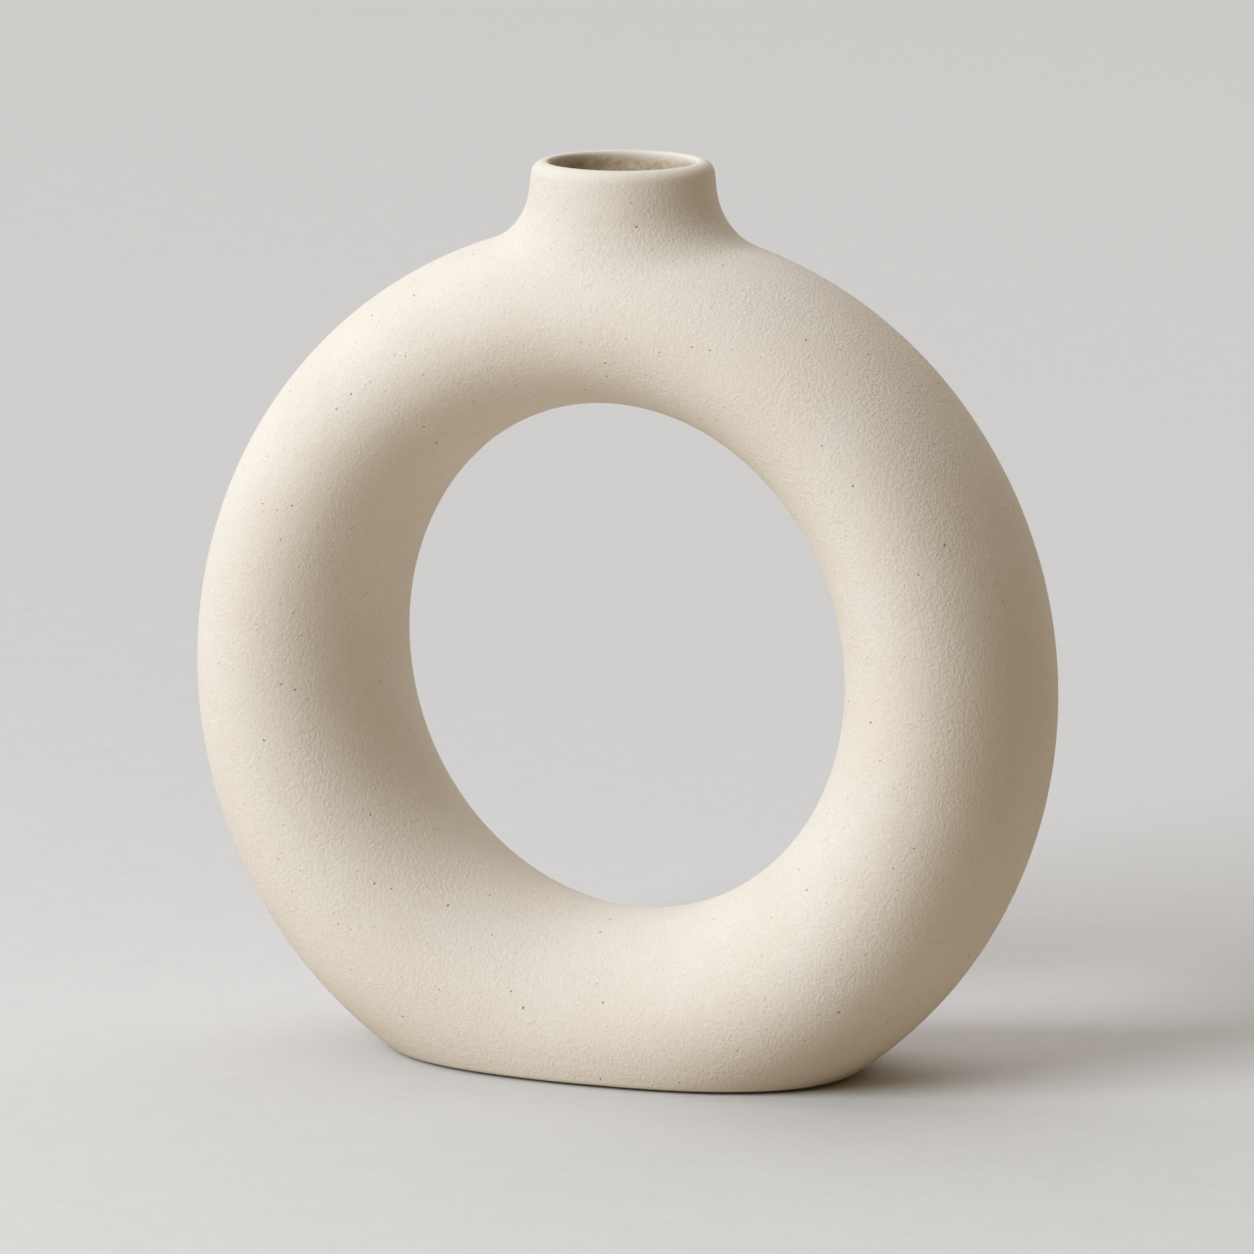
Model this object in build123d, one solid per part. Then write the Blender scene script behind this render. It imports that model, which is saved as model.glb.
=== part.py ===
from build123d import *
import math
import os

# Donut vase: a hollow stoneware ring on a flat foot, with a short flared neck on its crest.
# Millimetres, +Z up, front towards -Y. The origin is on the table, under the middle of the foot.

# The ring from the front: an oval hole inside a wider oval that hangs lower and is cut flat at the foot
hole_half_width = 71.0
hole_half_height = 74.0
ring_half_width = 128.5
ring_half_height = 132.0
ring_drop = 6.3
foot_cut = 21.8

# The ring from the side: a little deeper at the foot than under the neck
ring_half_depth = 40.0
foot_extra_depth = 1.5
wall = 5.0
section_count = 24
spare_section_count = 3

# Neck, flaring out of the ring's crest
mouth_radius = 20.8
neck_wall = 5.0
neck_rise = 17.5
neck_taper = 1.8
flare_radius = 17.5
lip_outer_radius = 3.4
lip_inner_radius = 1.2
collar_seat_rise = 2.5
throat_edge_radius = 2.0

# Foot
foot_slab_thickness = 6.0
foot_edge_radius = 1.5

# Felt pads glued under the foot, two at each end
pad_radius = 8.0
pad_thickness = 0.8
pad_reach_x = 44.0
pad_reach_y = 16.0

# Heights above the table
foot_z = pad_thickness
slab_top_z = foot_z + foot_slab_thickness
hole_z = foot_z - foot_cut + ring_half_height + ring_drop
crest_z = hole_z - ring_drop + ring_half_height
collar_seat_z = crest_z + collar_seat_rise
lip_z = crest_z + neck_rise

# Middle of the ring's section under the neck, where the neck's core and bore are rooted
section_middle_z = (hole_z + hole_half_height + crest_z) / 2
neck_radius = mouth_radius + neck_wall


def outer_reach(angle, inset):
    # Distance from the hole's centre to the outer oval, along a ray at this angle
    across = ring_half_width - inset
    up = ring_half_height - inset
    c = math.cos(angle)
    s = math.sin(angle)
    squared = (c / across) ** 2 + (s / up) ** 2
    linear = 2 * s * ring_drop / up**2
    constant = (ring_drop / up) ** 2 - 1
    return (math.sqrt(linear**2 - 4 * squared * constant) - linear) / (2 * squared)


def ring_section(angle, inset):
    # One elliptical section of the ring, in the plane through the hole's axis at this angle.
    # Its outline is a front and a back half, so the ring's surfaces meet in its middle plane.
    c = math.cos(angle)
    s = math.sin(angle)
    near = 1 / math.hypot(c / (hole_half_width + inset), s / (hole_half_height + inset))
    far = outer_reach(angle, inset)
    middle = (near + far) / 2
    half_depth = ring_half_depth - foot_extra_depth * s - inset
    plane = Plane(origin=(middle * c, 0, hole_z + middle * s), x_dir=(-c, 0, -s), z_dir=(-s, 0, c))
    front = CenterArc((0, 0), 1, 0, 180)
    back = CenterArc((0, 0), 1, 180, 180)
    return plane * scale(Face(Wire([front, back])), by=((far - near) / 2, half_depth, 1))


def ring_arc(middle_angle, inset):
    # A little over half of the ring, lofted through sections on both sides of its middle
    step = 2 * math.pi / section_count
    reach = section_count // 4 + spare_section_count
    return loft([ring_section(middle_angle + step * k, inset) for k in range(-reach, reach + 1)])


def above(shape, height):
    return split(shape, bisect_by=Plane.XY.offset(height), keep=Keep.TOP)


def below(shape, height):
    return split(shape, bisect_by=Plane.XY.offset(height), keep=Keep.BOTTOM)


def ring_solid(inset):
    # The whole ring: an upper and a lower arc that meet level with the hole's centre
    return above(ring_arc(math.pi / 2, inset), hole_z) + below(ring_arc(-math.pi / 2, inset), hole_z)


def neck_core():
    # The solid cone that the neck is shaped from
    root_radius = neck_radius + neck_taper * (lip_z - section_middle_z) / neck_rise
    outline = Polyline(
        (0, section_middle_z), (root_radius, section_middle_z), (neck_radius, lip_z), (0, lip_z), close=True
    )
    return revolve(make_face(Plane.XZ * outline), Axis.Z)


def clay_body():
    # Ring and neck in one form, the neck flaring into the ring, cut flat at the foot
    ring = ring_solid(0)
    core = neck_core()
    joined = ring + core
    root = list(new_edges(ring, core, combined=joined))
    return above(fillet(root, flare_radius), foot_z)


def hollow():
    # The inside of the vase: the ring's cavity with a flat floor, opening into the mouth's bore
    cavity = above(ring_solid(wall), slab_top_z)
    bore_height = lip_z - section_middle_z
    bore = Cylinder(mouth_radius, bore_height, align=(Align.CENTER, Align.CENTER, Align.MIN))
    bore = Pos(0, 0, section_middle_z) * bore
    opened = cavity + bore
    throat_edge = list(new_edges(cavity, bore, combined=opened))
    return fillet(throat_edge, throat_edge_radius)


def rim_edge(collar, radius):
    # The collar's top edge that is a circle of this radius
    top_edges = collar.edges().filter_by(GeomType.CIRCLE).group_by(Axis.Z)[-1]
    return min(top_edges, key=lambda edge: abs(edge.radius - radius))


def neck_collar(clay):
    # The neck's upper ring, luted on the flat seat above the crest, with a soft lip
    collar = above(clay, collar_seat_z)
    collar = fillet(rim_edge(collar, neck_radius), lip_outer_radius)
    return fillet(rim_edge(collar, mouth_radius), lip_inner_radius)


def foot_slab(clay):
    # The flat slab that closes the ring's cut underside, its lower edge eased
    slab = below(clay, slab_top_z)
    rest_face = slab.faces().filter_by(Axis.Z).sort_by(Axis.Z)[0]
    return fillet(rest_face.outer_wire().edges(), foot_edge_radius)


def felt_pads():
    pad = Cylinder(pad_radius, pad_thickness, align=(Align.CENTER, Align.CENTER, Align.MIN))
    spots = GridLocations(2 * pad_reach_x, 2 * pad_reach_y, 2, 2)
    return Compound(children=[spot * pad for spot in spots])


clay = clay_body() - hollow()
ring_halves = below(above(clay, slab_top_z), collar_seat_z)
nodes = {
    "front_ring_half": split(ring_halves, bisect_by=Plane.XZ, keep=Keep.TOP),
    "back_ring_half": split(ring_halves, bisect_by=Plane.XZ, keep=Keep.BOTTOM),
    "neck_collar": neck_collar(clay),
    "foot_slab": foot_slab(clay),
    "felt_pads": felt_pads(),
}

os.makedirs("parts", exist_ok=True)
for name, shape in nodes.items():
    export_step(shape, f"parts/{name}.step")
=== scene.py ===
import math
import bpy
from mathutils import Matrix, Vector


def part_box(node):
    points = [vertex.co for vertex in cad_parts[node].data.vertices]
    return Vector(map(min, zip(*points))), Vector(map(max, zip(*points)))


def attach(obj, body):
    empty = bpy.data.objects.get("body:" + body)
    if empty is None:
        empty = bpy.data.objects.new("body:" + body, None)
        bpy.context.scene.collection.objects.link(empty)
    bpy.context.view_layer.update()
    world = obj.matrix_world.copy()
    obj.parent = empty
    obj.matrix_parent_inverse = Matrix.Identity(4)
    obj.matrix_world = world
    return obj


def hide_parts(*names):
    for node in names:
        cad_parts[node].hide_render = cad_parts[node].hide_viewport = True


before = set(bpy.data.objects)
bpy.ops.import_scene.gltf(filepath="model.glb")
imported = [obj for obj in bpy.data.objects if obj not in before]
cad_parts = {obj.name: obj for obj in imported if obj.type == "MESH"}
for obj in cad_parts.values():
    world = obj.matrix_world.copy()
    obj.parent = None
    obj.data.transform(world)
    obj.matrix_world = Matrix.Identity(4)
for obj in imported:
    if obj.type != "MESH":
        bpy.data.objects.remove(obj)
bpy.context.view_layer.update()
print("frame loaded")

# Metres, as in the frame: +Z up, the vase's front towards -Y


def feed(tree, term, socket):
    # Gives a node's socket its value, from another node or as a plain number
    source = term.source if isinstance(term, Value) else term
    if isinstance(source, bpy.types.NodeSocket):
        tree.links.new(source, socket)
    else:
        socket.default_value = source


class Value:
    # A number in a node tree that can be written in a sum like any other number
    def __init__(self, tree, source):
        self.tree = tree
        self.source = source

    def math(self, operation, *others):
        node = self.tree.nodes.new("ShaderNodeMath")
        node.operation = operation
        for socket, term in zip(node.inputs, (self, *others)):
            feed(self.tree, term, socket)
        return Value(self.tree, node.outputs[0])

    def __add__(self, other):
        return self.math("ADD", other)

    def __sub__(self, other):
        return self.math("SUBTRACT", other)

    def __mul__(self, other):
        return self.math("MULTIPLY", other)

    def __truediv__(self, other):
        return self.math("DIVIDE", other)

    def __neg__(self):
        return self * -1

    def __radd__(self, other):
        return Value(self.tree, other) + self

    def __rsub__(self, other):
        return Value(self.tree, other) - self

    def __rmul__(self, other):
        return Value(self.tree, other) * self

    def __rtruediv__(self, other):
        return Value(self.tree, other) / self


def larger(a, b):
    return a.math("MAXIMUM", b)


def smaller(a, b):
    return a.math("MINIMUM", b)


def longSide(a, b):
    # The long side of a right triangle with these two short sides
    return (a * a + b * b).math("SQRT")


def ramp(value, start, end):
    # 0 before start, 1 after end and smooth between
    node = value.tree.nodes.new("ShaderNodeMapRange")
    node.interpolation_type = "SMOOTHSTEP"
    for name, term in (("Value", value), ("From Min", start), ("From Max", end)):
        feed(value.tree, term, node.inputs[name])
    return Value(value.tree, node.outputs["Result"])


def partsOf(tree, vector):
    # A vector's three parts as numbers
    parts = tree.nodes.new("ShaderNodeSeparateXYZ")
    tree.links.new(vector, parts.inputs[0])
    return [Value(tree, socket) for socket in parts.outputs]


def vectorOf(tree, parts):
    # The vector that has these three numbers as its parts
    joined = tree.nodes.new("ShaderNodeCombineXYZ")
    for socket, part in zip(joined.inputs, parts):
        feed(tree, part, socket)
    return joined.outputs[0]


def roundedOverlap(a, b, radius):
    # Distance to what two forms share, their common edge rounded
    return smaller(-radius, larger(a, b)) + longSide(larger(radius + a, 0.0), larger(radius + b, 0.0))


def roundedJoin(a, b, radius):
    # Distance to two forms joined, the corner between them rounded
    return larger(radius, smaller(a, b)) - longSide(larger(radius - a, 0.0), larger(radius - b, 0.0))


def rollingJoin(a, b, alike, radius):
    # The same for surfaces that meet at any angle; alike is the cosine between their normals.
    # The least spread keeps the division in bounds where the two lie nearly along each other
    leastSpread = 0.05
    fromA = radius - a
    fromB = radius - b
    spread = larger(1 - alike * alike, leastSpread)
    toCentre = ((fromA * fromA + fromB * fromB - 2 * alike * fromA * fromB) / spread).math("SQRT")
    nearA = (fromB - alike * fromA).math("GREATER_THAN", 0.0)
    nearB = (fromA - alike * fromB).math("GREATER_THAN", 0.0)
    apart = smaller(a, b)
    return apart + (radius - toCentre - apart) * (nearA * nearB)


# The vase's clay form, in metres: the ring, its neck, lip and foot, all hollow.
# Neck Taper is the neck's widening for each metre down
clayForm = {
    "Hole Half Width": 0.071,
    "Hole Half Height": 0.074,
    "Ring Half Width": 0.1285,
    "Ring Half Height": 0.132,
    "Ring Drop": 0.0063,
    "Hole Height": 0.1173,
    "Ring Half Depth": 0.040,
    "Foot Extra Depth": 0.0015,
    "Wall": 0.005,
    "Mouth Radius": 0.0208,
    "Neck Radius": 0.0258,
    "Neck Taper": 0.1029,
    "Lip Height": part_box("neck_collar")[1][2],
    "Flare Radius": 0.0175,
    "Lip Outer Radius": 0.0034,
    "Lip Inner Radius": 0.0012,
    "Throat Radius": 0.002,
    "Foot Height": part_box("foot_slab")[0][2],
    "Slab Top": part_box("foot_slab")[1][2],
    "Foot Edge": 0.0008,
}


def clayDistance(tree, size):
    # Distance from the clay's surface, under 0 inside the clay, then the same for the vase taken as
    # solid, and the height that both are read at
    position = tree.nodes.new("GeometryNodeInputPosition")
    x, y, z = partsOf(tree, position.outputs[0])

    # The ring's section in the plane through the hole's axis, between the hole's oval and the outer one.
    # The distance to its ellipse is a share of the way out over that share's slope, which is kept above 0
    up = z - size["Hole Height"]
    reach = longSide(x, up)
    across = x / reach
    rise = up / reach
    near = 1 / longSide(across / size["Hole Half Width"], rise / size["Hole Half Height"])
    squared = longSide(across / size["Ring Half Width"], rise / size["Ring Half Height"])
    squared = squared * squared
    dropShare = size["Ring Drop"] / size["Ring Half Height"]
    linear = 2 * rise * dropShare / size["Ring Half Height"]
    constant = dropShare * dropShare - 1
    far = ((linear * linear - 4 * squared * constant).math("SQRT") - linear) / (2 * squared)
    halfHeight = (far - near) / 2
    halfDepth = size["Ring Half Depth"] - size["Foot Extra Depth"] * rise
    inward = (reach - (near + far) / 2) / halfHeight
    forward = y / halfDepth
    share = longSide(inward, forward)
    slopeIn = inward / halfHeight
    slopeForward = forward / halfDepth
    leastSlope = 0.0001
    slope = longSide(slopeIn, slopeForward) + leastSlope
    ring = share * (share - 1) / slope

    # The neck is a plain cone that rises from the ring's crest
    aside = longSide(x, y)
    lean = 1 / longSide(Value(tree, 1.0), size["Neck Taper"])
    neck = (aside - size["Neck Radius"] - size["Neck Taper"] * (size["Lip Height"] - z)) * lean
    crest = size["Ring Half Height"] - size["Ring Drop"]
    crestMiddle = size["Hole Height"] + (size["Hole Half Height"] + crest) / 2
    neck = larger(neck, crestMiddle - z)
    alongCone = (x * across * slopeIn + y * slopeForward) / aside + size["Neck Taper"] * rise * slopeIn
    outside = rollingJoin(ring, neck, alongCone * lean / slope, size["Flare Radius"])
    outside = roundedOverlap(outside, z - size["Lip Height"], size["Lip Outer Radius"])

    # The hollow: the ring's inside with a flat floor, open to the mouth
    cavity = roundedOverlap(ring + size["Wall"], size["Slab Top"] - z, size["Throat Radius"])
    bore = larger(aside - size["Mouth Radius"], crestMiddle - z)
    hollow = roundedJoin(cavity, bore, size["Throat Radius"])
    clay = roundedOverlap(outside, -hollow, size["Lip Inner Radius"])
    clay = roundedOverlap(clay, size["Foot Height"] - z, size["Foot Edge"])
    return clay, outside, z


# One skin of the clay, in metres: the step of its grid and the margin round it, in steps; its bottom, top
# and half width; how it sinks past its seams; the sway that hands leave in the clay; and how deep under
# the vase's outside the glaze begins and is full
skinForm = {
    "Voxel": 0.00196,
    "Margin": 3.4,
    "Bottom": 0.0,
    "Top": 0.27,
    "Half Width": 0.13,
    "Sink Above": 1.0,
    "Sink Below": -1.0,
    "Sink Depth": 0.00035,
    "Sink Reach": 0.004,
    "Sway Length": 0.035,
    "Sway Depth": 0.00025,
    "Glaze From": 0.0008,
    "Glaze Full": 0.0036,
}


def newForm(name, values):
    # A geometry tree with these named values and a material going in and a mesh coming out
    tree = bpy.data.node_groups.new(name, "GeometryNodeTree")
    for label, value in values.items():
        tree.interface.new_socket(label, in_out="INPUT", socket_type="NodeSocketFloat").default_value = value
    tree.interface.new_socket("Material", in_out="INPUT", socket_type="NodeSocketMaterial")
    tree.interface.new_socket("Mesh", in_out="OUTPUT", socket_type="NodeSocketGeometry")
    given = tree.nodes.new("NodeGroupInput")
    return tree, {label: Value(tree, given.outputs[label]) for label in values}, given


def finishForm(tree, geometry, given):
    # Makes the geometry real, gives it the material and sends it out
    realize = tree.nodes.new("GeometryNodeRealizeInstances")
    paint = tree.nodes.new("GeometryNodeSetMaterial")
    result = tree.nodes.new("NodeGroupOutput")
    tree.links.new(geometry, realize.inputs["Geometry"])
    tree.links.new(realize.outputs["Geometry"], paint.inputs["Geometry"])
    tree.links.new(given.outputs["Material"], paint.inputs["Material"])
    tree.links.new(paint.outputs["Geometry"], result.inputs["Mesh"])
    return tree


def clayTree():
    # A node tree that fills a box with the clay's distance and draws its surface as a mesh
    tree, size, given = newForm("clayForm", {**clayForm, **skinForm})
    clay, outside, z = clayDistance(tree, size)

    # The slow unevenness that hands leave, only ever inwards
    position = tree.nodes.new("GeometryNodeInputPosition")
    sway = tree.nodes.new("ShaderNodeTexNoise")
    sway.inputs["Detail"].default_value = 1.0
    tree.links.new(position.outputs[0], sway.inputs["Vector"])
    tree.links.new((1 / size["Sway Length"]).source, sway.inputs["Scale"])
    clay = clay + size["Sway Depth"] * Value(tree, sway.outputs[0])

    # Round a seam each skin sinks under its neighbour, so that no edge shows there
    sunkAbove = ramp(z, size["Sink Above"], size["Sink Above"] + size["Sink Reach"])
    sunkBelow = ramp(-z, -size["Sink Below"], size["Sink Reach"] - size["Sink Below"])
    clay = clay + size["Sink Depth"] * (sunkAbove + sunkBelow)
    clay = larger(larger(clay, z - size["Top"]), size["Bottom"] - z)

    # The box. Its margin isn't a whole number of steps, because a flat face on the grid's own points
    # would leave slivers. Beyond the box is air
    cube = tree.nodes.new("GeometryNodeVolumeCube")
    tree.links.new((-clay).source, cube.inputs["Density"])
    margin = size["Margin"] * size["Voxel"]
    halfDepth = smaller(size["Half Width"], size["Ring Half Depth"] + size["Foot Extra Depth"]) + margin
    corners = {
        "Min": (-(size["Half Width"] + margin), -halfDepth, larger(size["Bottom"], 0.0) - margin),
        "Max": (size["Half Width"] + margin, halfDepth, smaller(size["Top"], size["Lip Height"]) + margin),
    }
    for name, corner in corners.items():
        tree.links.new(vectorOf(tree, corner), cube.inputs[name])
    for axis, low, high in zip("XYZ", corners["Min"], corners["Max"]):
        steps = ((high - low) / size["Voxel"]).math("ROUND") + 1
        tree.links.new(steps.source, cube.inputs["Resolution " + axis])
    cube.inputs["Background"].default_value = -1.0

    mesher = tree.nodes.new("GeometryNodeVolumeToMesh")
    mesher.resolution_mode = "GRID"
    mesher.inputs["Threshold"].default_value = 0.0
    tree.links.new(cube.outputs["Volume"], mesher.inputs["Volume"])

    # Marks what lies inside the vase, for the glaze, from the outside's distance alone
    glaze = tree.nodes.new("GeometryNodeStoreNamedAttribute")
    glaze.inputs["Name"].default_value = "glazed"
    tree.links.new(mesher.outputs["Mesh"], glaze.inputs["Geometry"])
    tree.links.new(ramp(-outside, size["Glaze From"], size["Glaze Full"]).source, glaze.inputs["Value"])
    smooth = tree.nodes.new("GeometryNodeSetShadeSmooth")
    tree.links.new(glaze.outputs["Geometry"], smooth.inputs["Geometry"])
    return finishForm(tree, smooth.outputs["Geometry"], given)


def meshFrom(tree, name, values):
    # Runs a tree with these named values and keeps its result as a plain mesh object
    scratch = bpy.data.objects.new(name + "Scratch", bpy.data.meshes.new(name + "Scratch"))
    bpy.context.collection.objects.link(scratch)
    modifier = scratch.modifiers.new("shape", "NODES")
    modifier.node_group = tree
    for item in tree.interface.items_tree:
        if item.in_out == "INPUT" and item.name in values:
            modifier[item.identifier] = values[item.name]
    evaluated = scratch.evaluated_get(bpy.context.evaluated_depsgraph_get())
    mesh = bpy.data.meshes.new_from_object(evaluated)
    bpy.data.objects.remove(scratch)
    piece = bpy.data.objects.new(name, mesh)
    bpy.context.collection.objects.link(piece)
    print(name, len(mesh.vertices), "vertices", len(mesh.polygons), "faces")
    return piece


def plainMaterial(name, colour, roughness):
    material = bpy.data.materials.new(name)
    material.use_nodes = True
    shader = material.node_tree.nodes["Principled BSDF"]
    shader.inputs["Base Color"].default_value = (*colour, 1)
    shader.inputs["Roughness"].default_value = roughness
    return material


def objectPlace(tree):
    # The point's place on the vase, as three numbers in metres
    place = tree.nodes.new("ShaderNodeTexCoord")
    return partsOf(tree, place.outputs["Object"])


def textureAt(tree, kind, place, **settings):
    # A noise or cell texture at this place, which is already measured in grains or cells
    texture = tree.nodes.new(kind)
    tree.links.new(vectorOf(tree, place), texture.inputs["Vector"])
    texture.inputs["Scale"].default_value = 1.0
    for name, value in settings.items():
        texture.inputs[name].default_value = value
    return texture


def mixColour(tree, factor, first, second):
    # A colour between two, each a socket or a plain colour. The node's sockets for colours have the same
    # names as those for numbers, so they are told apart by their places
    node = tree.nodes.new("ShaderNodeMix")
    node.data_type = "RGBA"
    tree.links.new(factor.source, node.inputs["Factor"])
    for socket, colour in ((node.inputs[6], first), (node.inputs[7], second)):
        if isinstance(colour, bpy.types.NodeSocket):
            tree.links.new(colour, socket)
        else:
            socket.default_value = (*colour, 1)
    return node.outputs[2]


def newGroup(name, inputs, outputs):
    # A shader group with numbers of these names going in and out
    tree = bpy.data.node_groups.new(name, "ShaderNodeTree")
    for labels, direction in ((inputs, "INPUT"), (outputs, "OUTPUT")):
        for label in labels:
            tree.interface.new_socket(label, in_out=direction, socket_type="NodeSocketFloat")
    given = tree.nodes.new("NodeGroupInput")
    result = tree.nodes.new("NodeGroupOutput")
    return tree, {label: Value(tree, given.outputs[label]) for label in inputs}, result


# The layers of a grain, measured against one flake, and how much each of them counts
grainLayers = {
    "gritsPerFlake": 2.3,
    "flakesPerPatch": 3.7,
    "flakesPerField": 11.0,
    "flakeEdges": (0.25, 0.75),
    "flakeShare": 0.55,
    "fieldEdges": (0.35, 0.65),
    "fieldLeast": 0.8,
    "fieldGain": 0.4,
}


def grainGroup():
    # Uneven grain: a height for relief and a softer tone for colour, both from 0 to 1
    layers = grainLayers
    tree, size, result = newGroup("grain", ("Grain Size", "Upright Stretch"), ("Height", "Tone"))
    x, y, z = objectPlace(tree)
    step = size["Grain Size"]
    place = (x / step, y / step, z / (step * size["Upright Stretch"]))
    flakes = textureAt(tree, "ShaderNodeTexNoise", place, Detail=1.0, Roughness=0.5)
    gritPlace = [part * layers["gritsPerFlake"] for part in place]
    grit = textureAt(tree, "ShaderNodeTexNoise", gritPlace, Detail=2.0, Roughness=0.6)
    patchPlace = [part / layers["flakesPerPatch"] for part in place]
    patches = textureAt(tree, "ShaderNodeTexNoise", patchPlace, Detail=2.0, Roughness=0.5)
    fieldPlace = [part / layers["flakesPerField"] for part in place]
    fields = textureAt(tree, "ShaderNodeTexNoise", fieldPlace, Detail=1.0, Roughness=0.5)

    # The grain stands out in some fields and is rubbed smooth in others
    raised = ramp(Value(tree, flakes.outputs[0]), *layers["flakeEdges"]) * layers["flakeShare"]
    raised = raised + Value(tree, grit.outputs[0]) * (1 - layers["flakeShare"])
    strength = layers["fieldGain"] * ramp(Value(tree, fields.outputs[0]), *layers["fieldEdges"])
    relief = 0.5 + (raised - 0.5) * (layers["fieldLeast"] + strength)
    tree.links.new(relief.source, result.inputs["Height"])
    tree.links.new(patches.outputs[0], result.inputs["Tone"])
    return tree


# The smallest speck and a speck's full middle, as shares of the radius, and how ragged its edge is
speckShape = {
    "smallest": 0.25,
    "fullMiddle": 0.55,
    "raggedness": 1.6,
}


def speckGroup():
    # Ragged specks of many sizes strewn at random: 1 in a speck, 0 between
    shape = speckShape
    tree, size, result = newGroup("specks", ("Spacing", "Radius", "Shift"), ("Mask",))
    place = objectPlace(tree)
    edge = textureAt(tree, "ShaderNodeTexNoise", [part / size["Radius"] for part in place], Detail=0.0)
    ragged = 1 + shape["raggedness"] * (Value(tree, edge.outputs[0]) - 0.5)
    cellPlace = [part / size["Spacing"] + size["Shift"] for part in place]
    cells = textureAt(tree, "ShaderNodeTexVoronoi", cellPlace)
    chances = tree.nodes.new("ShaderNodeSeparateColor")
    tree.links.new(cells.outputs["Color"], chances.inputs[0])
    growth = (1 - shape["smallest"]) * Value(tree, chances.outputs[0])
    radius = size["Radius"] * (shape["smallest"] + growth)
    away = Value(tree, cells.outputs["Distance"]) * size["Spacing"] * ragged
    mask = 1 - ramp(away, radius * shape["fullMiddle"], radius)
    tree.links.new(mask.source, result.inputs["Mask"])
    return tree


grain = grainGroup()
specks = speckGroup()


def useGroup(tree, group, values):
    # Places a group in a material with these values and gives its outputs by name
    node = tree.nodes.new("ShaderNodeGroup")
    node.node_tree = group
    for name, value in values.items():
        node.inputs[name].default_value = value
    return {socket.name: Value(tree, socket) for socket in node.outputs}


def useGrain(tree, grainSize, stretch=1.0):
    # Grain of this size, drawn out upwards by the stretch
    return useGroup(tree, grain, {"Grain Size": grainSize, "Upright Stretch": stretch})


def useSpecks(tree, spacing, radius, shift=0.0):
    # The shift tells two sets of specks apart, in spacings
    return useGroup(tree, specks, {"Spacing": spacing, "Radius": radius, "Shift": shift})["Mask"]


def addRelief(tree, height):
    # Turns a height in millimetres into the surface's relief
    millimetre = 0.001
    bump = tree.nodes.new("ShaderNodeBump")
    bump.inputs["Distance"].default_value = millimetre
    tree.links.new(height.source, bump.inputs["Height"])
    tree.links.new(bump.outputs[0], tree.nodes["Principled BSDF"].inputs["Normal"])


# Matt stoneware outside, and the thin brown glaze that lines the neck and the ring.
# Sizes, spacings and reaches are in metres, heights and depths of the relief in millimetres, and the
# broad grain and the brush marks are measured in grains
stonewareLook = {
    "clayColour": (0.80, 0.778, 0.733),
    "warmColour": (0.76, 0.705, 0.63),
    "warmShare": 0.5,
    "warmEdges": (0.35, 0.65),
    "broadGrains": 9.0,
    "broadShare": 0.7,
    # Share of painted shade in the hollows between the grains
    "hollowShadeShare": 0.26,
    "clayRoughness": 0.85,
    "roughnessSway": 0.1,
    "grainSize": 0.00095,
    "grainHeight": 0.13,
    "brushGrains": 0.7,
    "brushLength": 4.0,
    "brushHeight": 0.03,
    "lipReach": 0.007,
    "lipSmoothing": 0.8,
    # Painted shade towards the foot: how much it darkens the clay and how high it reaches, in metres
    "footShadeShare": 0.2,
    "footShadeReach": 0.035,
    "pitColour": (0.33, 0.245, 0.165),
    "pitSpacing": 0.0047,
    "pitRadius": 0.00037,
    "pitDepth": 0.2,
    # Colour of the specks, also used for the painted shade in the grain hollows and towards the foot
    "speckAndShadeColour": (0.55, 0.46, 0.34),
    "speckSpacing": 0.0020,
    "speckRadius": 0.00036,
    "speckShare": 0.6,
    "speckShift": 7.3,
    "glazeColour": (0.66, 0.565, 0.43),
    "glazePatchColour": (0.42, 0.315, 0.205),
    "glazePatchShare": 0.8,
    "glazePatchEdges": (0.3, 0.75),
    "glazeGrainSize": 0.0015,
    "glazeRoughness": 0.30,
    "glazeHeight": 0.12,
}


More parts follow.
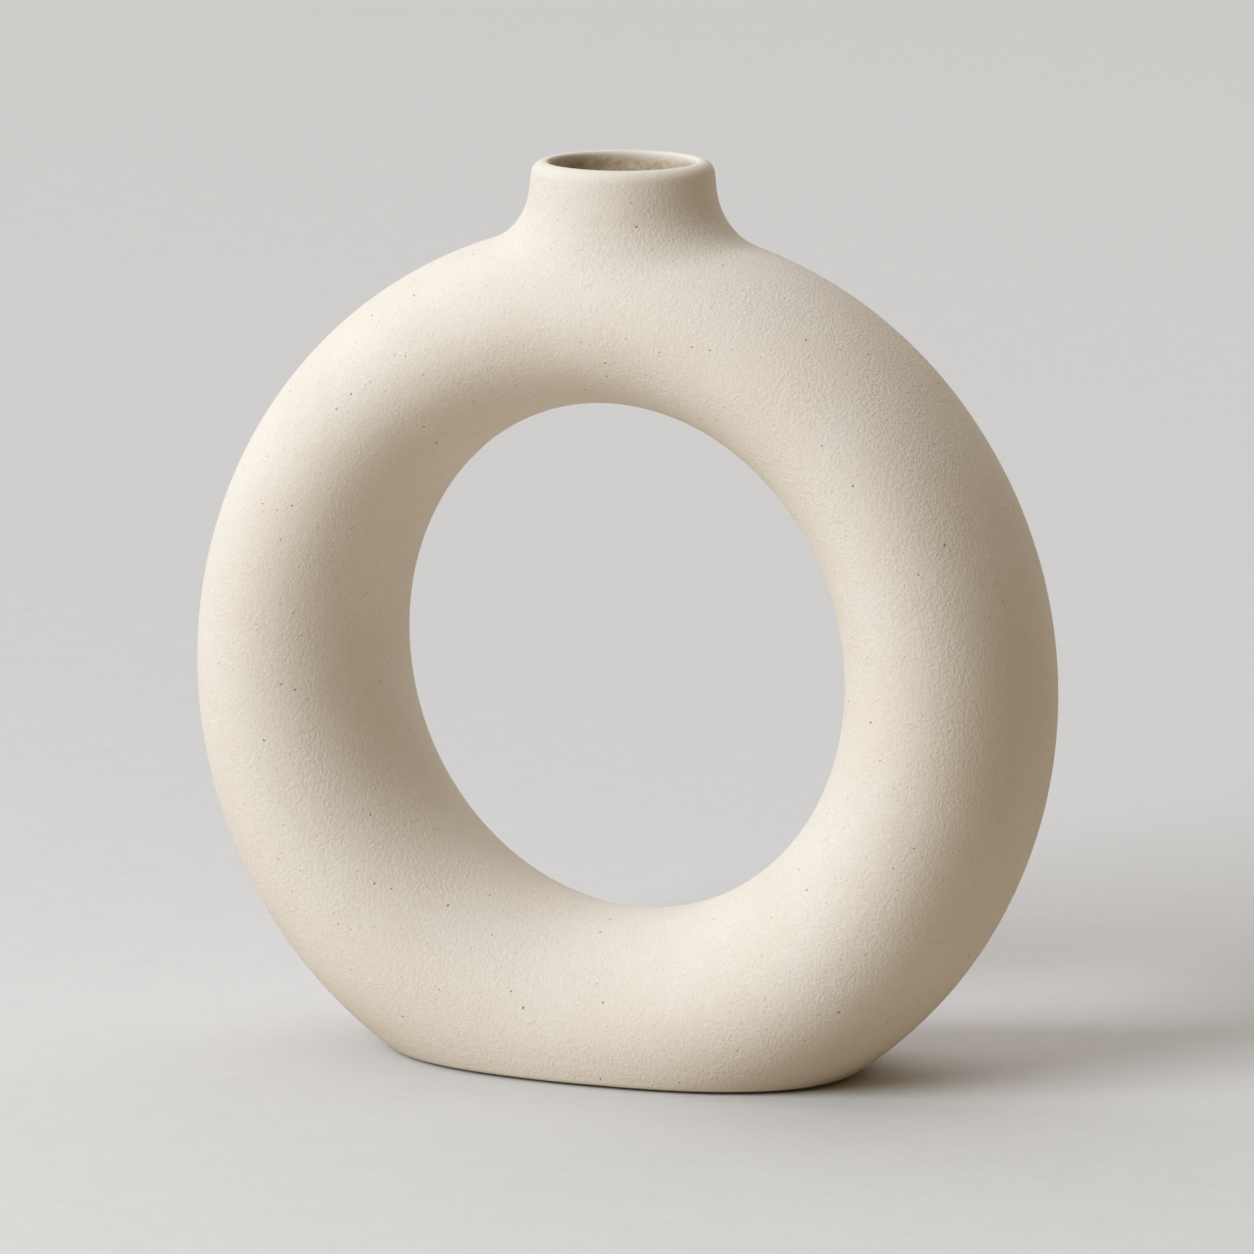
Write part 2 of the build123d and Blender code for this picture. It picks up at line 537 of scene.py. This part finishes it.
def stonewareMaterial():
    look = stonewareLook
    material = plainMaterial("stoneware", look["clayColour"], look["clayRoughness"])
    tree = material.node_tree
    shader = tree.nodes["Principled BSDF"]
    fine = useGrain(tree, look["grainSize"])
    brushed = useGrain(tree, look["grainSize"] * look["brushGrains"], look["brushLength"])
    broad = useGrain(tree, look["grainSize"] * look["broadGrains"])
    pits = useSpecks(tree, look["pitSpacing"], look["pitRadius"])
    dots = useSpecks(tree, look["speckSpacing"], look["speckRadius"], look["speckShift"])

    # The lip is rubbed smooth, with little grain and no pits
    height = objectPlace(tree)[2]
    lip = clayForm["Lip Height"]
    rubbed = ramp(height, lip - look["lipReach"], lip)
    pits = pits * (1 - rubbed)
    dots = dots * (1 - rubbed)

    # The inside of the vase, marked on the mesh
    mark = tree.nodes.new("ShaderNodeAttribute")
    mark.attribute_name = "glazed"
    glazed = Value(tree, mark.outputs["Fac"])
    patched = useGrain(tree, look["glazeGrainSize"])

    # Painted shade: the hollows between the grains are a little darker than their tops, and the clay is
    # painted darker towards the foot
    warm = broad["Tone"] * look["broadShare"] + fine["Tone"] * (1 - look["broadShare"])
    warm = ramp(warm, *look["warmEdges"]) * look["warmShare"]
    colour = mixColour(tree, warm, look["clayColour"], look["warmColour"])
    # Painted shade in the hollows between the grains
    hollow = (1 - fine["Height"]) * look["hollowShadeShare"]
    # Painted shade that darkens the clay towards the foot
    low = (1 - ramp(height, 0.0, look["footShadeReach"])) * look["footShadeShare"]
    # Specks, the painted shade in the hollows and the painted shade at the foot all take the speck colour
    for share in (hollow, low, dots * look["speckShare"]):
        colour = mixColour(tree, share, colour, look["speckAndShadeColour"])
    colour = mixColour(tree, pits, colour, look["pitColour"])
    patches = patched["Tone"] * look["glazePatchShare"] + patched["Height"] * (1 - look["glazePatchShare"])
    patches = ramp(patches, *look["glazePatchEdges"])
    glaze = mixColour(tree, patches, look["glazeColour"], look["glazePatchColour"])
    tree.links.new(mixColour(tree, glazed, colour, glaze), shader.inputs["Base Color"])

    dull = look["clayRoughness"] + look["roughnessSway"] * (fine["Height"] - 0.5)
    tree.links.new((dull + glazed * (look["glazeRoughness"] - dull)).source, shader.inputs["Roughness"])

    outside = fine["Height"] * look["grainHeight"] + brushed["Height"] * look["brushHeight"]
    outside = outside * (1 - look["lipSmoothing"] * rubbed) - pits * look["pitDepth"]
    inside = patched["Height"] * look["glazeHeight"]
    addRelief(tree, outside + glazed * (inside - outside))
    return material


stoneware = stonewareMaterial()
clay = clayTree()
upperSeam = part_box("neck_collar")[0][2]
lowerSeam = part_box("foot_slab")[1][2]

# Each skin starts to sink a little before its seam and runs on past it
overlap = 0.005
sinkStart = 0.0004
skins = {
    "ring_skin": {
        "Bottom": lowerSeam - overlap,
        "Top": upperSeam + overlap,
        "Sink Above": upperSeam - sinkStart,
        "Sink Below": lowerSeam + sinkStart,
    },
    "collar_skin": {
        "Voxel": 0.0005,
        "Bottom": upperSeam - overlap,
        "Half Width": 0.048,
        "Sink Below": upperSeam + sinkStart,
    },
    "foot_skin": {
        "Voxel": 0.0007,
        "Top": lowerSeam + overlap,
        "Half Width": 0.087,
        "Sink Above": lowerSeam - sinkStart,
    },
}
replaced = {
    "ring_skin": ("front_ring_half", "back_ring_half"),
    "collar_skin": ("neck_collar",),
    "foot_skin": ("foot_slab",),
}
for name, values in skins.items():
    skin = meshFrom(clay, name, {**values, "Material": stoneware})
    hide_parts(*replaced[name])
    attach(skin, "root")
print("clay made")


# Felt pads under the foot, in metres. Segments and Rings are those of the ball that each is pressed from,
# and Flatness is how soon the ball's middle spreads into the faces
feltPads = {
    "Radius": 0.008,
    "Thickness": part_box("felt_pads")[1][2],
    "Reach X": 0.044,
    "Reach Y": 0.016,
    "Segments": 64.0,
    "Rings": 32.0,
    "Flatness": 2.5,
}
feltLook = {
    "colour": (0.030, 0.028, 0.026),
    "fibreColour": (0.085, 0.08, 0.075),
    "roughness": 0.95,
    "fibreSize": 0.00025,
    "fibreStretch": 0.4,
    "fibreHeight": 0.06,
}


def feltTree():
    # Four discs with soft edges, on the corners of a rectangle
    tree, size, given = newForm("feltPads", feltPads)

    # A ball pressed flat: its middle spreads into the disc's faces and its rim stays round
    ball = tree.nodes.new("GeometryNodeMeshUVSphere")
    ball.inputs["Radius"].default_value = 1.0
    for name in ("Segments", "Rings"):
        tree.links.new(size[name].source, ball.inputs[name])
    position = tree.nodes.new("GeometryNodeInputPosition")
    x, y, z = partsOf(tree, position.outputs[0])
    edge = size["Thickness"] / 2
    leastOut = 0.00001
    out = longSide(x, y) + leastOut
    spread = (size["Radius"] - edge) * smaller(out * size["Flatness"], 1.0) / out + edge
    pressed = tree.nodes.new("GeometryNodeSetPosition")
    tree.links.new(ball.outputs["Mesh"], pressed.inputs["Geometry"])
    tree.links.new(vectorOf(tree, (x * spread, y * spread, z * edge + edge)), pressed.inputs["Position"])

    corners = tree.nodes.new("GeometryNodeMeshGrid")
    for name in ("X", "Y"):
        tree.links.new((size["Reach " + name] * 2).source, corners.inputs["Size " + name])
        corners.inputs["Vertices " + name].default_value = 2
    spots = tree.nodes.new("GeometryNodeInstanceOnPoints")
    smooth = tree.nodes.new("GeometryNodeSetShadeSmooth")
    tree.links.new(corners.outputs["Mesh"], spots.inputs["Points"])
    tree.links.new(pressed.outputs["Geometry"], smooth.inputs["Geometry"])
    tree.links.new(smooth.outputs["Geometry"], spots.inputs["Instance"])
    return finishForm(tree, spots.outputs["Instances"], given)


def feltMaterial():
    look = feltLook
    material = plainMaterial("felt", look["colour"], look["roughness"])
    tree = material.node_tree
    fibres = useGrain(tree, look["fibreSize"], look["fibreStretch"])
    colour = mixColour(tree, fibres["Height"], look["colour"], look["fibreColour"])
    tree.links.new(colour, tree.nodes["Principled BSDF"].inputs["Base Color"])
    addRelief(tree, fibres["Height"] * look["fibreHeight"])
    return material


pads = meshFrom(feltTree(), "felt_discs", {**feltPads, "Material": feltMaterial()})
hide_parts("felt_pads")
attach(pads, "root")
print("felt made")


# Floor and backdrop in one seamless sweep, in metres. Its colour is painted darker from near to far along a
# slant over the floor as painted shade, with soft patches and fine flecks
sweep = {
    "halfWidth": 4.0,
    "front": -4.0,
    "back": 3.6,
    "bend": 1.2,
    "height": 3.0,
    "steps": 24,
    "nearColour": (0.762, 0.767, 0.772),
    "farColour": (0.62, 0.63, 0.64),
    "bounceColour": (0.57, 0.495, 0.40),
    "roughness": 0.95,
    "shadeSlant": (0.8, 1.2),
    "shadeEdges": (-0.9, 0.45),
    "patchShare": 0.25,
    "fleckShare": 0.2,
    "fleckSize": 0.0045,
}


def paperMaterial():
    # Pale where it is seen, also in gloss or through glass, and darker to the light that it throws back
    # on the vase
    material = plainMaterial("paper", sweep["bounceColour"], sweep["roughness"])
    tree = material.node_tree
    shader = tree.nodes["Principled BSDF"]
    x, y = objectPlace(tree)[:2]
    slantX, slantY = sweep["shadeSlant"]
    # Painted shade: the paper darkens from near to far
    shade = ramp(x * slantX + y * slantY, *sweep["shadeEdges"])
    flecks = useGrain(tree, sweep["fleckSize"])
    shade = shade + (flecks["Tone"] - 0.5) * sweep["patchShare"]
    shade = shade + (flecks["Height"] - 0.5) * sweep["fleckShare"]
    paper = mixColour(tree, shade, sweep["nearColour"], sweep["farColour"])
    path = tree.nodes.new("ShaderNodeLightPath")
    seen = larger(Value(tree, path.outputs["Is Camera Ray"]), Value(tree, path.outputs["Is Glossy Ray"]))
    seen = larger(seen, Value(tree, path.outputs["Is Transmission Ray"]))
    colour = mixColour(tree, seen, sweep["bounceColour"], paper)
    tree.links.new(colour, shader.inputs["Base Color"])
    return material


def makeSweep():
    profile = [(sweep["front"], 0.0)]
    for k in range(sweep["steps"] + 1):
        turn = math.pi / 2 * k / sweep["steps"]
        y = sweep["back"] + sweep["bend"] * math.sin(turn)
        z = sweep["bend"] * (1 - math.cos(turn))
        profile.append((y, z))
    profile.append((sweep["back"] + sweep["bend"], sweep["height"]))
    points = [(side * sweep["halfWidth"], y, z) for y, z in profile for side in (-1, 1)]
    faces = [(2 * k, 2 * k + 1, 2 * k + 3, 2 * k + 2) for k in range(len(profile) - 1)]
    mesh = bpy.data.meshes.new("sweep")
    mesh.from_pydata(points, [], faces)
    mesh.polygons.foreach_set("use_smooth", [True] * len(faces))
    floor = bpy.data.objects.new("sweep", mesh)
    bpy.context.collection.objects.link(floor)
    mesh.materials.append(paperMaterial())


makeSweep()

# A soft key lamp in front and to the left, a very wide one above and behind, and the room's warm light.
# In degrees: a lamp's turn from the vase's front towards +X, its rise from the floor and its spread
lamps = {
    "key": {
        "turn": -35.0,
        "rise": 31.0,
        "spread": 36.0,
        "strength": 2.76,
        "colour": (0.906, 0.954, 1.0),
    },
    "back": {
        "turn": 215.0,
        "rise": 50.0,
        "spread": 100.0,
        "strength": 1.91,
        "colour": (0.925, 0.947, 1.0),
    },
}
lampDistance = 3.0
room = {
    "strength": 0.175,
    "colour": (1.0, 0.66, 0.25),
}


def makeLamp(name, lamp):
    turn = math.radians(lamp["turn"])
    rise = math.radians(lamp["rise"])
    towards = Vector((math.sin(turn) * math.cos(rise), -math.cos(turn) * math.cos(rise), math.sin(rise)))
    data = bpy.data.lights.new(name, "SUN")
    data.angle = math.radians(lamp["spread"])
    data.energy = lamp["strength"]
    data.color = lamp["colour"]
    shining = bpy.data.objects.new(name, data)
    shining.location = towards * lampDistance
    shining.rotation_euler = (-towards).to_track_quat("-Z", "Y").to_euler()
    bpy.context.collection.objects.link(shining)


def makeRoom():
    world = bpy.data.worlds.new("room")
    world.use_nodes = True
    background = world.node_tree.nodes["Background"]
    background.inputs["Color"].default_value = (*room["colour"], 1)
    background.inputs["Strength"].default_value = room["strength"]
    bpy.context.scene.world = world


for name, lamp in lamps.items():
    makeLamp(name, lamp)
makeRoom()
bpy.context.scene.view_settings.view_transform = "Standard"

# Camera, from the view fitted to the photograph. Turn and tilt are in degrees, the rest in metres
# or in the photograph's pixels
view = {
    "turn": 21.74,
    "tilt": 10.86,
    "distance": 2.4,
    "focalPixels": 8397,
    "imagePixels": 1254,
    "aimHeight": 0.1173,
    "shiftRight": 0.00115,
    "shiftUp": 0.00864,
}


def makeCamera():
    turn = math.radians(view["turn"])
    tilt = math.radians(view["tilt"])
    back = Vector((math.sin(turn) * math.cos(tilt), -math.cos(turn) * math.cos(tilt), math.sin(tilt)))
    right = Vector((math.cos(turn), math.sin(turn), 0))
    up = back.cross(right)
    place = Vector((0, 0, view["aimHeight"])) + back * view["distance"]
    place += right * view["shiftRight"] + up * view["shiftUp"]
    data = bpy.data.cameras.new("camera")
    data.sensor_width = 36
    data.lens = data.sensor_width * view["focalPixels"] / view["imagePixels"]
    camera = bpy.data.objects.new("camera", data)
    turned = Matrix((right, up, back)).transposed().to_4x4()
    camera.matrix_world = Matrix.Translation(place) @ turned
    bpy.context.collection.objects.link(camera)
    bpy.context.scene.camera = camera


makeCamera()
print("stage made")
